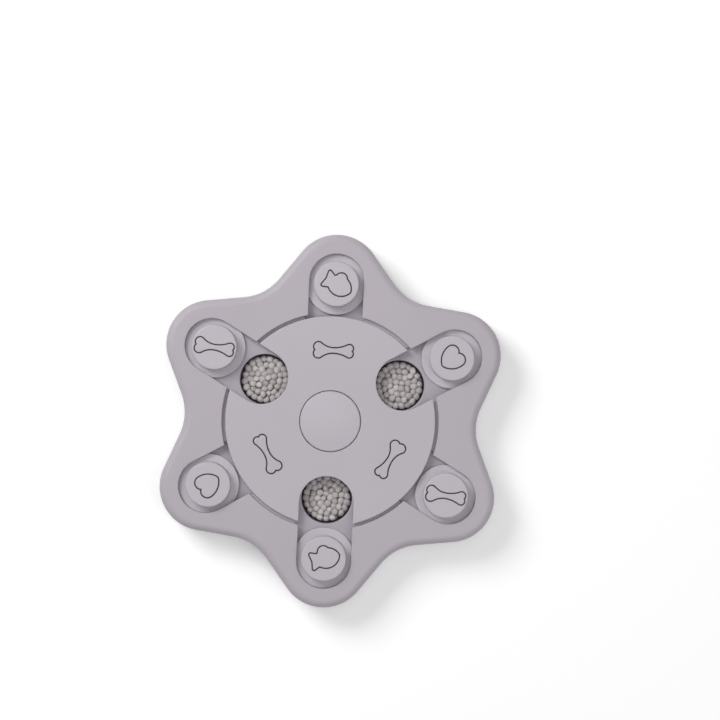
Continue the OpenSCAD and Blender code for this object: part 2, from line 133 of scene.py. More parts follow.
world = bpy.data.worlds.new("room")
scene.world = world
nodes, links = new_tree(world)
strength = add(nodes, "ShaderNodeMix", {"A": room_light, "B": 1.0})
links.new(seen_directly(nodes, links), strength.inputs["Factor"])
background = add(nodes, "ShaderNodeBackground", {"Color": white})
links.new(strength.outputs["Result"], background.inputs["Strength"])
world_output = nodes.new("ShaderNodeOutputWorld")
links.new(background.outputs["Background"], world_output.inputs["Surface"])

table_mesh = bpy.data.meshes.new("table")
corners = [(x * table_half, y * table_half, 0) for x, y in ((-1, -1), (1, -1), (1, 1), (-1, 1))]
table_mesh.from_pydata(corners, [], [(0, 1, 2, 3)])
table = bpy.data.objects.new("table", table_mesh)
scene.collection.objects.link(table)
table_paint = bpy.data.materials.new("table_paint")
nodes, links = new_tree(table_paint)
seen = add(nodes, "ShaderNodeMix", {"A": table_tone, "B": white}, data_type="RGBA")
links.new(seen_directly(nodes, links), seen.inputs["Factor"])
matte = nodes.new("ShaderNodeBsdfDiffuse")
links.new(seen.outputs["Result"], matte.inputs["Color"])
place = nodes.new("ShaderNodeTexCoord")
away = add(nodes, "ShaderNodeVectorMath", operation="LENGTH")
links.new(place.outputs["Object"], away.inputs[0])
fade = add(nodes, "ShaderNodeMapRange", glow_by_distance)
links.new(away.outputs["Value"], fade.inputs["Value"])
lift = add(nodes, "ShaderNodeMath", operation="MULTIPLY")
links.new(fade.outputs["Result"], lift.inputs[0])
links.new(seen_directly(nodes, links), lift.inputs[1])
glow = nodes.new("ShaderNodeEmission")
links.new(lift.outputs["Value"], glow.inputs["Strength"])
lit = nodes.new("ShaderNodeAddShader")
links.new(matte.outputs["BSDF"], lit.inputs[0])
links.new(glow.outputs["Emission"], lit.inputs[1])
surface = nodes.new("ShaderNodeOutputMaterial")
links.new(lit.outputs["Shader"], surface.inputs["Surface"])
table_mesh.materials.append(table_paint)


# ---- Top cover ----
# The upper shell is one injection moulding in pale lilac-grey plastic with a fine spark-eroded grain.
# Its deck has a round opening and six radial slots. Six screws from below pull it down on the tray.

cover_low, cover_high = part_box("top_cover")
lobe_reach = cover_high.y
deck_top = cover_high.z
cover_base = cover_low.z
lobe_count = 6
sector = 360 / lobe_count
first_lobe = 90
valley_reach = 92.3 * mm
lobe_radius = 28 * mm
valley_radius = 33 * mm
rim_round = 5 * mm
skirt_wall = 2.5 * mm
deck_thickness = 3 * mm
deck_under = deck_top - deck_thickness
opening_radius = 68.4 * mm
slot_half = 17.1 * mm
slot_centre = 88.6 * mm
edge_round = 0.6 * mm
corner = 0.35 * mm
boss_distance = 80 * mm
boss_radius = 4 * mm
boss_base = 3.7 * mm
pilot_radius = 1.52 * mm
pilot_top = 16.5 * mm
rim_steps = 12
lobe_steps = 20
valley_steps = 10
slot_steps = 18
opening_steps = 10
seam_weld = 0.01 * mm
double_weld = 0.004 * mm


def polar(radius, degrees):
    """The point at that distance and angle."""
    angle = math.radians(degrees)
    return Vector((radius * math.cos(angle), radius * math.sin(angle)))


def lobe_angle(number):
    """The direction of a lobe in degrees. The first points along +Y, and they run clockwise."""
    return first_lobe - sector * (number - 1)


def arc(centre, radius, start, end, steps):
    """Points along a circle, from the start angle to the end angle in degrees, both included."""
    return [Vector(centre) + polar(radius, start + (end - start) * i / steps) for i in range(steps + 1)]


def mirrored(points):
    """The same points on the other side of the x axis, in the opposite order."""
    return [Vector((p.x, -p.y)) for p in reversed(points)]


def round_over(radius, top, steps=5):
    """Inset and height of a rounded edge, from the side up to the top face."""
    return [(radius - p.x, top - radius + p.y) for p in arc((0, 0), radius, 0, 90, steps)]


def star_path(inset):
    """One sixth of the star's outline, centred on a lobe that points along +X."""
    lobe_centre = Vector((lobe_reach - lobe_radius, 0))
    valley_centre = polar(valley_reach + valley_radius, sector / 2)
    between = valley_centre - lobe_centre
    lean = math.acos((lobe_radius + valley_radius) / between.length)
    tangent = math.degrees(math.atan2(between.y, between.x) - lean)
    half = arc(lobe_centre, lobe_radius - inset, 0, tangent, lobe_steps)
    half += arc(valley_centre, valley_radius + inset, 180 + tangent, 180 + sector / 2, valley_steps)
    return mirrored(half)[:-1] + half


def opening_path(inset):
    """One sixth of the deck's opening, with the slot of one lobe."""
    radius = opening_radius + inset
    half = slot_half + inset
    mouth = math.degrees(math.asin(half / radius))
    side = arc((slot_centre, 0), half, 0, 90, slot_steps)
    side += arc((0, 0), radius, mouth, sector / 2, opening_steps)
    return mirrored(side)[:-1] + side


def half_round(distance, radius, side, steps=12):
    """The half of a circle on the sector's left border (1) or right border (-1) that lies in the sector."""
    start = side * sector / 2 + (0 if side > 0 else 180)
    return arc(polar(distance, side * sector / 2), radius, start, start - 180, steps)


def ring(mesh, points, height):
    """Vertices along a path at one height."""
    return [mesh.verts.new((p.x, p.y, height)) for p in points]


def stack(mesh, path, levels):
    """A ring for each pair of a path's inset or radius and a height."""
    return [ring(mesh, path(inset), height) for inset, height in levels]


def skin(mesh, rings, closed=False):
    """Faces between each ring and the next."""
    faces = []
    for lower, upper in zip(rings, rings[1:]):
        count = len(lower)
        for i in range(count if closed else count - 1):
            j = (i + 1) % count
            faces.append(mesh.faces.new((lower[i], lower[j], upper[j], upper[i])))
    return faces


def cap(mesh, outline, *holes):
    """A flat face inside an outline and outside its holes."""
    loops = [outline, *holes]
    flat = [vert for loop in loops for vert in loop]
    for corners in tessellate_polygon([[vert.co for vert in loop] for loop in loops]):
        mesh.faces.new([flat[i] for i in corners])


def give_sockets(tree, in_out, **kinds):
    """A node group's inputs or outputs, named with underscores for spaces."""
    for name, kind in kinds.items():
        tree.interface.new_socket(name.replace("_", " "), in_out=in_out, socket_type="NodeSocket" + kind)


def copies_round(name):
    """Geometry Nodes: copies of a sector, turned round the z axis and welded into one mesh."""
    tree = bpy.data.node_groups.new(name, "GeometryNodeTree")
    give_sockets(tree, "INPUT", Sector="Geometry", Copies="Int", First_Angle="Float", Weld="Float",
                 Finish="Material")
    give_sockets(tree, "OUTPUT", Whole="Geometry")
    nodes, links = tree.nodes, tree.links
    given = nodes.new("NodeGroupInput")
    points = nodes.new("GeometryNodePoints")
    links.new(given.outputs["Copies"], points.inputs["Count"])
    index = nodes.new("GeometryNodeInputIndex")
    share = add(nodes, "ShaderNodeMath", operation="DIVIDE")
    links.new(index.outputs["Index"], share.inputs[0])
    links.new(given.outputs["Copies"], share.inputs[1])
    angle = add(nodes, "ShaderNodeMath", {1: math.tau}, operation="MULTIPLY_ADD")
    links.new(share.outputs["Value"], angle.inputs[0])
    links.new(given.outputs["First Angle"], angle.inputs[2])
    turn = nodes.new("ShaderNodeCombineXYZ")
    links.new(angle.outputs["Value"], turn.inputs["Z"])
    copies = nodes.new("GeometryNodeInstanceOnPoints")
    links.new(points.outputs["Points"], copies.inputs["Points"])
    links.new(given.outputs["Sector"], copies.inputs["Instance"])
    links.new(turn.outputs["Vector"], copies.inputs["Rotation"])
    real = nodes.new("GeometryNodeRealizeInstances")
    links.new(copies.outputs["Instances"], real.inputs["Geometry"])
    weld = nodes.new("GeometryNodeMergeByDistance")
    links.new(real.outputs["Geometry"], weld.inputs["Geometry"])
    links.new(given.outputs["Weld"], weld.inputs["Distance"])
    finish = nodes.new("GeometryNodeSetMaterial")
    links.new(weld.outputs["Geometry"], finish.inputs["Geometry"])
    links.new(given.outputs["Finish"], finish.inputs["Material"])
    result = nodes.new("NodeGroupOutput")
    links.new(finish.outputs["Geometry"], result.inputs["Whole"])
    return tree


def give_inputs(modifier, **values):
    """Sets a Geometry Nodes modifier's inputs, named with underscores for spaces, by their identifiers."""
    for socket in modifier.node_group.interface.items_tree:
        key = socket.name.replace(" ", "_")
        if socket.in_out == "INPUT" and key in values:
            modifier[socket.identifier] = values[key]


def new_piece(name, mesh_code, material):
    """An object at the origin that holds the finished bmesh."""
    mesh = bpy.data.meshes.new(name)
    mesh_code.to_mesh(mesh)
    mesh_code.free()
    mesh.materials.append(material)
    piece = bpy.data.objects.new(name, mesh)
    scene.collection.objects.link(piece)
    return piece


def apply_modifiers(piece):
    """Makes what a piece's modifiers give its own plain mesh."""
    evaluated = piece.evaluated_get(bpy.context.evaluated_depsgraph_get())
    piece.data = bpy.data.meshes.new_from_object(evaluated)
    piece.modifiers.clear()
    piece.data.name = piece.name


def settle(piece, more=None, sharp=50):
    """Applies a piece's modifiers, welds on more of it, and shades it so that flat faces stay flat."""
    apply_modifiers(piece)
    tidy = bmesh.new()
    tidy.from_mesh(piece.data)
    if more:
        more_mesh = bpy.data.meshes.new("more")
        more.to_mesh(more_mesh)
        more.free()
        tidy.from_mesh(more_mesh)
        bpy.data.meshes.remove(more_mesh)
    bmesh.ops.remove_doubles(tidy, verts=tidy.verts, dist=double_weld)
    bmesh.ops.recalc_face_normals(tidy, faces=tidy.faces)
    tidy.to_mesh(piece.data)
    tidy.free()
    piece.data.shade_smooth()
    piece.data.set_sharp_from_angle(angle=math.radians(sharp))
    weighted = piece.modifiers.new("weighted", "WEIGHTED_NORMAL")
    weighted.keep_sharp = True
    apply_modifiers(piece)


round_tree = copies_round("copies_round")


def complete(piece, copies, finish, more=None):
    """Copies a sector round into the whole piece and settles it."""
    array = piece.modifiers.new("copies_round", "NODES")
    array.node_group = round_tree
    give_inputs(array, Copies=copies, First_Angle=math.radians(first_lobe), Weld=seam_weld, Finish=finish)
    settle(piece, more)


def moulded_grain():
    """Shader group: the fine grain, the faint clouding and the uneven sheen of moulded plastic."""
    tree = bpy.data.node_groups.new("moulded_grain", "ShaderNodeTree")
    give_sockets(tree, "INPUT", Colour="Color", Clouding="Float", Grain_Size="Float", Grain_Depth="Float",
                 Sheen_From="Float", Sheen_To="Float")
    give_sockets(tree, "OUTPUT", Colour="Color", Roughness="Float", Normal="Vector")
    nodes, links = tree.nodes, tree.links
    given = nodes.new("NodeGroupInput")
    result = nodes.new("NodeGroupOutput")
    place = nodes.new("ShaderNodeTexCoord")
    noise_range = {"From Min": 0.3, "From Max": 0.7}

    clouds = add(nodes, "ShaderNodeTexNoise", {"Scale": 14.0, "Detail": 4.0})
    links.new(place.outputs["Object"], clouds.inputs["Vector"])
    swing = add(nodes, "ShaderNodeMapRange", {**noise_range, "To Min": -1.0, "To Max": 1.0})
    links.new(clouds.outputs["Fac"], swing.inputs["Value"])
    gain = add(nodes, "ShaderNodeMath", {2: 1.0}, operation="MULTIPLY_ADD")
    links.new(swing.outputs["Result"], gain.inputs[0])
    links.new(given.outputs["Clouding"], gain.inputs[1])
    tint = add(nodes, "ShaderNodeVectorMath", operation="SCALE")
    links.new(given.outputs["Colour"], tint.inputs["Vector"])
    links.new(gain.outputs["Value"], tint.inputs["Scale"])
    links.new(tint.outputs["Vector"], result.inputs["Colour"])

    handled = add(nodes, "ShaderNodeTexNoise", {"Scale": 55.0, "Detail": 6.0})
    links.new(place.outputs["Object"], handled.inputs["Vector"])
    sheen = add(nodes, "ShaderNodeMapRange", noise_range)
    links.new(handled.outputs["Fac"], sheen.inputs["Value"])
    links.new(given.outputs["Sheen From"], sheen.inputs["To Min"])
    links.new(given.outputs["Sheen To"], sheen.inputs["To Max"])
    links.new(sheen.outputs["Result"], result.inputs["Roughness"])

    grain = add(nodes, "ShaderNodeTexNoise", {"Detail": 2.0})
    links.new(place.outputs["Object"], grain.inputs["Vector"])
    links.new(given.outputs["Grain Size"], grain.inputs["Scale"])
    bump = add(nodes, "ShaderNodeBump", {"Distance": 0.1 * mm})
    links.new(grain.outputs["Fac"], bump.inputs["Height"])
    links.new(given.outputs["Grain Depth"], bump.inputs["Strength"])
    links.new(bump.outputs["Normal"], result.inputs["Normal"])
    return tree


grain_group = moulded_grain()


def grained(name, colour, clouding=0.02, grain_size=1300.0, grain_depth=0.35, sheen=(0.42, 0.56),
            groove=None, metal=False):
    """A plastic, rubber or metal finish, with a second, dark colour painted as shade on faces whose groove
    value is 1.
    """
    material = bpy.data.materials.new(name)
    nodes, links = new_tree(material)
    surface = nodes.new("ShaderNodeOutputMaterial")
    gloss = {"Metallic": 1.0} if metal else {"Specular IOR Level": 0.4}
    shader = add(nodes, "ShaderNodeBsdfPrincipled", gloss)
    links.new(shader.outputs["BSDF"], surface.inputs["Surface"])
    values = {"Colour": (*colour, 1), "Clouding": clouding, "Grain Size": grain_size,
              "Grain Depth": grain_depth, "Sheen From": sheen[0], "Sheen To": sheen[1]}
    grain = add(nodes, "ShaderNodeGroup", values, node_tree=grain_group)
    links.new(grain.outputs["Colour"], shader.inputs["Base Color"])
    links.new(grain.outputs["Roughness"], shader.inputs["Roughness"])
    links.new(grain.outputs["Normal"], shader.inputs["Normal"])
    # Painted shade: faces in a groove take the given dark colour in place of the shadow that falls there.
    if groove:
        inside = add(nodes, "ShaderNodeAttribute", attribute_name="groove")
        painted = add(nodes, "ShaderNodeMix", {"B": (*groove, 1)}, data_type="RGBA")
        links.new(inside.outputs["Fac"], painted.inputs["Factor"])
        links.new(grain.outputs["Colour"], painted.inputs["A"])
        links.new(painted.outputs["Result"], shader.inputs["Base Color"])
    return material


cover_plastic = grained("cover_plastic", (0.450, 0.412, 0.455))

sector_mesh = bmesh.new()
outside = round_over(rim_round, deck_top, rim_steps)[::-1]
outside += [(0, cover_base + corner), (corner, cover_base), (skirt_wall - corner, cover_base)]
outside += [(skirt_wall, cover_base + corner), (skirt_wall, deck_under)]
outer = stack(sector_mesh, star_path, outside)
inside = [(corner, deck_under), (0, deck_under + corner)] + round_over(edge_round, deck_top)
inner = stack(sector_mesh, opening_path, inside)
skin(sector_mesh, outer)
skin(sector_mesh, inner)
boss_levels = [(boss_radius, deck_under), (boss_radius, boss_base), (pilot_radius, boss_base),
               (pilot_radius, pilot_top)]
boss_top = {}
for side in (1, -1):
    boss = stack(sector_mesh, lambda radius: half_round(boss_distance, radius, side), boss_levels)
    skin(sector_mesh, boss)
    cap(sector_mesh, boss[-1])
    boss_top[side] = boss[0]
cap(sector_mesh, outer[0] + inner[-1][::-1])
cap(sector_mesh, outer[-1] + boss_top[1] + inner[0][::-1] + boss_top[-1])

top_cover = new_piece("cover_shell", sector_mesh, cover_plastic)
complete(top_cover, lobe_count, cover_plastic)
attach(top_cover, "housing")
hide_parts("top_cover")


# ---- Treat tray ----
# The moulding under the cover, in a slightly darker plastic: six channels for the lids, a well at the
# inner end of each channel, and the hub in the middle. The cover and the bottom plate hold it.

tray_low, tray_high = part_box("treat_tray")
tray_base = tray_low.z
tray_top = tray_high.z
tray_inset = skirt_wall + 0.3 * mm
tray_wall = 2 * mm
channel_floor = tray_top - 2.45 * mm
channel_from = 50.5 * mm
channel_to = 86.5 * mm
channel_radius = 19.5 * mm
channel_half = 18.9 * mm
channel_edge = 0.5 * mm
channel_fillet = 0.4 * mm
channel_steps = 40
web_under = channel_floor - tray_wall
well_distance = 48.9 * mm
well_radius = 16 * mm
well_fillet = 4 * mm
well_edge = 0.8 * mm
well_steps = 96
well_floor = tray_base + tray_wall
pot_radius = well_radius + tray_wall
boss_hole = boss_radius + 0.3 * mm
recess_radius = 21.5 * mm
recess_outer = recess_radius + tray_wall
recess_floor = 18.45 * mm
recess_under = recess_floor - tray_wall
post_radius = 16.6 * mm
post_top = 20.05 * mm
cup_radius = 12.4 * mm
reed_hole = 4.02 * mm
hub_screw_distance = 14.5 * mm
hub_screw_hole = 1.02 * mm
hub_screw_end = 13.55 * mm
hub_screw_count = 3
hub_steps = 120

tray_plastic = grained("tray_plastic", (0.395, 0.365, 0.410), clouding=0.03)


def circle(centre, radius, steps):
    """Points round a whole circle."""
    return arc(centre, radius, 0, 360 * (steps - 1) / steps, steps - 1)


def lathe(mesh, profile, steps=128, centre=(0, 0)):
    """A turned body from radius and height pairs. A radius of zero closes it in a point."""
    rings = []
    for radius, height in profile:
        if radius == 0:
            rings.append([mesh.verts.new((*centre, height))] * steps)
        else:
            rings.append(ring(mesh, circle(centre, radius, steps), height))
    for lower, upper in zip(rings, rings[1:]):
        for i in range(steps):
            j = (i + 1) % steps
            corners = [lower[i], lower[j], upper[j], upper[i]]
            mesh.faces.new(list(dict.fromkeys(corners)))


def channel_path(grow):
    """A channel's outline, grown outwards: round at both ends, with a flat on each side."""
    radius = channel_radius + grow
    flat = math.degrees(math.asin((channel_half + grow) / radius))
    outer_end = arc((channel_to, 0), radius, -flat, flat, channel_steps)
    return outer_end + arc((channel_from, 0), radius, 180 - flat, 180 + flat, channel_steps)


def well_path(radius):
    """A circle round the middle of a well."""
    return circle((well_distance, 0), radius, well_steps)


def middle_path(radius, steps=hub_steps // lobe_count):
    """The sector's share of a circle round the toy's middle."""
    return arc((0, 0), radius, sector / 2, -sector / 2, steps)


sector_mesh = bmesh.new()
web_levels = (web_under, tray_top)
star_edge = stack(sector_mesh, star_path, [(tray_inset, height) for height in web_levels])
skin(sector_mesh, star_edge)
recess_edge = stack(sector_mesh, middle_path, zip((recess_outer, recess_radius), web_levels))
holes = {}
for side in (1, -1):
    holes[side] = stack(sector_mesh, lambda radius: half_round(boss_distance, radius, side),
                        [(boss_hole, height) for height in web_levels])
    skin(sector_mesh, holes[side])
fillet_centre = (-channel_fillet, channel_floor + channel_fillet)
channel = [(p.x, p.y) for p in arc(fillet_centre, channel_fillet, -90, 0, 4)]
channel += round_over(channel_edge, tray_top, 4)
channel_rings = stack(sector_mesh, channel_path, channel)
skin(sector_mesh, channel_rings, closed=True)
well_rim = round_over(well_edge, channel_floor, 4)[::-1]
well = [(well_radius + inset, height) for inset, height in well_rim]
fillet_centre = (well_radius - well_fillet, well_floor + well_fillet)
well += [(p.x, p.y) for p in arc(fillet_centre, well_fillet, 0, -90, 8)]
well_rings = stack(sector_mesh, well_path, well)
skin(sector_mesh, well_rings, closed=True)
cap(sector_mesh, well_rings[-1])
pot = [(pot_radius, web_under), (pot_radius, tray_base + corner), (pot_radius - corner, tray_base)]
pot_rings = stack(sector_mesh, well_path, pot)
skin(sector_mesh, pot_rings, closed=True)
cap(sector_mesh, pot_rings[-1])
cap(sector_mesh, channel_rings[0], well_rings[0])
for level, opening in enumerate((pot_rings[0], channel_rings[-1])):
    border = star_edge[level] + holes[1][level] + recess_edge[level] + holes[-1][level]
    cap(sector_mesh, border, opening)

hub_mesh = bmesh.new()
cup = [(reed_hole, tray_base), (reed_hole, well_floor), (cup_radius, well_floor), (cup_radius, post_top)]
recess = [(post_radius, post_top), (post_radius, recess_floor), (recess_radius, recess_floor),
          (recess_radius, tray_top)]
underside = [(recess_outer, web_under), (recess_outer, recess_under), (post_radius, recess_under),
             (post_radius, tray_base), (reed_hole, tray_base)]
for profile in (cup, recess, underside):
    lathe(hub_mesh, profile, hub_steps)
screw_rings = []
for i in range(hub_screw_count):
    way = 360 * i / hub_screw_count
    hole = circle(polar(hub_screw_distance, way), hub_screw_hole, 24)
    hole_rings = [ring(hub_mesh, hole, height) for height in (post_top, hub_screw_end)]
    skin(hub_mesh, hole_rings, closed=True)
    cap(hub_mesh, hole_rings[1])
    screw_rings.append(hole_rings[0])
post_rings = [ring(hub_mesh, circle((0, 0), radius, hub_steps), post_top)
              for radius in (post_radius, cup_radius)]
cap(hub_mesh, *post_rings, *screw_rings)

tray = new_piece("tray_moulding", sector_mesh, tray_plastic)
complete(tray, lobe_count, tray_plastic, more=hub_mesh)
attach(tray, "housing")
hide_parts("treat_tray")


# ---- Bottom plate and hub ring ----
# A flat star in the cover's plastic closes the housing from below. Six screws run through it into the
# cover's bosses, and seven small holes let the squeaker's sound out. A ring holds the turntable down.

plate_low, plate_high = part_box("bottom_plate")
plate_under = plate_low.z
plate_top = plate_high.z
plate_edge = 0.4 * mm
screw_hole = 1.8 * mm
screw_head = 3.15 * mm
sound_distance = 6.8 * mm
sound_hole = 1.4 * mm
sound_edge = 0.3 * mm
foot_distance = 98 * mm
foot_seat = 6.3 * mm
foot_seat_top = plate_under + 0.8 * mm
foot_seat_steps = 64

plate_plastic = grained("plate_plastic", (0.430, 0.394, 0.435), clouding=0.03, grain_depth=0.5)

sector_mesh = bmesh.new()
rim = stack(sector_mesh, lambda inset: star_path(tray_inset + inset),
            [(plate_edge, plate_under), (0, plate_under + plate_edge), (0, plate_top)])
skin(sector_mesh, rim)
screw_levels = [(screw_head, plate_under), (screw_hole, plate_under + screw_head - screw_hole),
                (screw_hole, plate_top)]
sound_levels = [(sound_hole + sound_edge, plate_under), (sound_hole, plate_under + sound_edge),
                (sound_hole, plate_top)]
middle = stack(sector_mesh, lambda radius: middle_path(radius, 4), sound_levels)
skin(sector_mesh, middle)
borders = {}
for side in (1, -1):
    screw = stack(sector_mesh, lambda radius: half_round(boss_distance, radius, side), screw_levels)
    voice = stack(sector_mesh, lambda radius: half_round(sound_distance, radius, side), sound_levels)
    skin(sector_mesh, screw)
    skin(sector_mesh, voice)
    borders[side] = [a + b if side > 0 else b + a for a, b in zip(screw, voice)]
seat_ring = circle((foot_distance, 0), foot_seat, foot_seat_steps)
seat = [ring(sector_mesh, seat_ring, height) for height in (plate_under, foot_seat_top)]
skin(sector_mesh, seat, closed=True)
cap(sector_mesh, seat[1])
cap(sector_mesh, rim[0] + borders[1][0] + middle[0] + borders[-1][0], seat[0])
cap(sector_mesh, rim[-1] + borders[1][-1] + middle[-1] + borders[-1][-1])

plate = new_piece("plate_star", sector_mesh, plate_plastic)
complete(plate, lobe_count, plate_plastic)
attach(plate, "housing")
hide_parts("bottom_plate")


def refinish(node, material):
    """Gives a part that keeps its own shape a new finish."""
    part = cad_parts[node]
    part.data.materials.clear()
    part.data.materials.append(material)


refinish("hub_ring", tray_plastic)


# ---- Turntable ----
# A disc that turns on the hub, in the cover's plastic, a shade lighter. Three notches in its rim
# open on the wells, and between them stand three bones, each with a groove cut round it, painted dark as
# shade.

turntable_radius = 66.3 * mm
turntable_top = deck_top
turntable_under = deck_under + 0.2 * mm
notch_centre = 51.9 * mm
notch_count = 3
third = 360 / notch_count
disc_steps = 24
hub_hole = 19.4 * mm
hub_hole_round = 0.7 * mm
hub_hole_steps = 40
sleeve_radius = 21.2 * mm
lip_radius = 16.9 * mm
lip_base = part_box("turntable")[0].z
lip_top = lip_base + 1.2 * mm
bone_distance = 44.7 * mm
bone_length = 24.4 * mm
bone_big_end = 9.6 * mm
bone_small_end = 7.8 * mm
bone_waist = 2.7 * mm
groove_width = 0.9 * mm
groove_depth = 0.8 * mm
groove_chamfer = 0.06 * mm
groove_chamfer_depth = 0.08 * mm
emblem_rise = 0.4 * mm
emblem_rounding = [(0, 0.2 * mm), (-0.08 * mm, 0.06 * mm), (-0.25 * mm, 0)]

# Painted shade: the near-black colour of the groove faces, standing in for the shadow in the groove.
groove_painted_shade = (0.028, 0.022, 0.028)
disc_plastic = grained("disc_plastic", (0.482, 0.447, 0.490), groove=groove_painted_shade)


def turned(point, degrees):
    """A point turned round the origin."""
    angle = math.radians(degrees)
    return Vector((point.x * math.cos(angle) - point.y * math.sin(angle),
                   point.x * math.sin(angle) + point.y * math.cos(angle)))


def turntable_path(inset):
    """One third of the turntable's outline, centred on a bone, between the middles of two notches."""
    radius = turntable_radius - inset
    half = slot_half + inset
    mouth = math.degrees(math.asin(half / radius))
    side = arc((0, 0), radius, 0, third / 2 - mouth, disc_steps)
    side += [turned(p, third / 2) for p in arc((notch_centre, 0), half, -90, -180, slot_steps)]
    return mirrored(side)[:-1] + side


def bone_quarter(half_length, end_width, waist, grow):
    """From the middle of a bone's waist to the cleft of its end: a hollow arc, then the end's ball."""
    ball = 0.28 * end_width
    centre = Vector((half_length - ball, end_width / 2 - ball))
    rise = centre.y - waist / 2
    hollow = (centre.x ** 2 + rise ** 2 - ball ** 2) / (2 * (ball + rise))
    hollow_centre = Vector((0, waist / 2 + hollow))
    meet = math.degrees(math.atan2(centre.y - hollow_centre.y, centre.x))
    cleft = -math.degrees(math.asin(centre.y / (ball + grow)))
    side = arc(hollow_centre, hollow - grow, -90, meet, 16)
    return side + arc(centre, ball + grow, 180 + meet, cleft, 24)[1:]


def bone_edge(length, big_end, small_end, waist):
    """The edge of a bone whose big end lies along +X, as a function of how far it is grown outwards."""
    def edge(grow):
        big = bone_quarter(length / 2, big_end, waist, grow)
        small = [Vector((-p.x, p.y)) for p in bone_quarter(length / 2, small_end, waist, grow)]
        upper = small[:0:-1] + big
        return list(reversed(upper + mirrored(upper)[1:-1]))
    return edge


def emblem_mesh():
    """An empty mesh whose faces carry the value that tells a groove, painted dark as shade, from the surface
    round it.
    """
    mesh = bmesh.new()
    mesh.faces.layers.float.new("groove")
    return mesh


def emblem(mesh, edge, top, place):
    """A raised emblem in its groove. Returns the groove's outer edge, which the surface round it meets."""
    wall = groove_width - groove_chamfer
    levels = [(groove_width, top), (wall, top - groove_chamfer_depth), (wall, top - groove_depth),
              (0, top - groove_depth), (0, top)]
    levels += [(grow, top + emblem_rise - drop) for grow, drop in emblem_rounding]
    rings = stack(mesh, lambda grow: [place(p) for p in edge(grow)], levels)
    skin(mesh, rings[:2], closed=True)
    # The groove's walls and floor are marked, and the material paints them dark as shade.
    groove = mesh.faces.layers.float["groove"]
    for face in skin(mesh, rings[1:5], closed=True):
        face[groove] = 1.0
    skin(mesh, rings[4:], closed=True)
    cap(mesh, rings[-1])
    return rings[0]


sector_mesh = emblem_mesh()
outside = [(corner, turntable_under), (0, turntable_under + corner)]
outside += round_over(edge_round, turntable_top)
outer = stack(sector_mesh, turntable_path, outside)
hole_edge = round_over(hub_hole_round, turntable_top)[::-1]
hub_side = [(hub_hole + inset, height) for inset, height in hole_edge]
hub_side += [(hub_hole, lip_top), (lip_radius, lip_top), (lip_radius, lip_base),
             (sleeve_radius, lip_base), (sleeve_radius, turntable_under)]
inner = stack(sector_mesh, lambda radius: arc((0, 0), radius, -third / 2, third / 2, hub_hole_steps),
              hub_side)
skin(sector_mesh, outer)
skin(sector_mesh, inner)
disc_bone = bone_edge(bone_length, bone_big_end, bone_small_end, bone_waist)
bone = emblem(sector_mesh, disc_bone, turntable_top, lambda p: Vector((bone_distance - p.y, p.x)))
cap(sector_mesh, outer[-1] + inner[0][::-1], bone)
cap(sector_mesh, outer[0] + inner[-1][::-1])

turntable = new_piece("turntable_disc", sector_mesh, disc_plastic)
complete(turntable, notch_count, disc_plastic)
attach(turntable, "turntable")
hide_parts("turntable")


# ---- Sliding lids ----
# Six round knobs, each moulded in one piece with the wider flange that runs in its channel.
# Each knob's top bears a fish, a heart or a bone in a cut groove painted dark as shade, twice round the toy.

lid_centre = 86.5 * mm
lid_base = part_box("slider_1_fish")[0].z
flange_radius = 19.2 * mm
flange_half = 18.6 * mm
flange_top = lid_base + 2.15 * mm
flange_chamfer = 0.3 * mm
knob_radius = 14.2 * mm
knob_fillet = [(0.6 * mm, 0), (0.18 * mm, 0.18 * mm), (0, 0.6 * mm)]
knob_round = 1 * mm
knob_top = deck_top + 4.5 * mm
lid_wall = 2 * mm
lid_points = 240

lid_plastic = grained("lid_plastic", (0.500, 0.465, 0.510), grain_depth=0.2, sheen=(0.34, 0.46),
                      groove=groove_painted_shade)


def heart_edge(width):
    """The edge of a heart that points along -Y: full sides, each touching its bump and the tip's circle."""
    bump, tip, side = 0.27 * width, 0.1 * width, 0.78 * width
    bump_centre = Vector((width / 2 - bump, 0.19 * width))
    tip_centre = Vector((0, -0.43 * width))
    span = tip_centre - bump_centre
    along = ((side - bump) ** 2 - (side - tip) ** 2 + span.length_squared) / (2 * span.length)
    across = math.sqrt((side - bump) ** 2 - along ** 2)
    side_centre = bump_centre + (along * span + across * Vector((span.y, -span.x))) / span.length

    def heading_of(point):
        return math.degrees(math.atan2(point.y - side_centre.y, point.x - side_centre.x))

    def edge(grow):
        cleft = math.degrees(math.acos(-bump_centre.x / (bump + grow)))
        right = arc(tip_centre, tip + grow, -90, heading_of(tip_centre), 10)[:-1]
        right += arc(side_centre, side + grow, heading_of(tip_centre), heading_of(bump_centre), 16)
        right += arc(bump_centre, bump + grow, heading_of(bump_centre), cleft, 40)[1:]
        return right + [Vector((-p.x, p.y)) for p in right[-2:0:-1]]
    return edge


def disc_field(point, centre, radius):
    """Distance from a disc's edge, negative inside."""
    return (point - Vector(centre)).length - radius


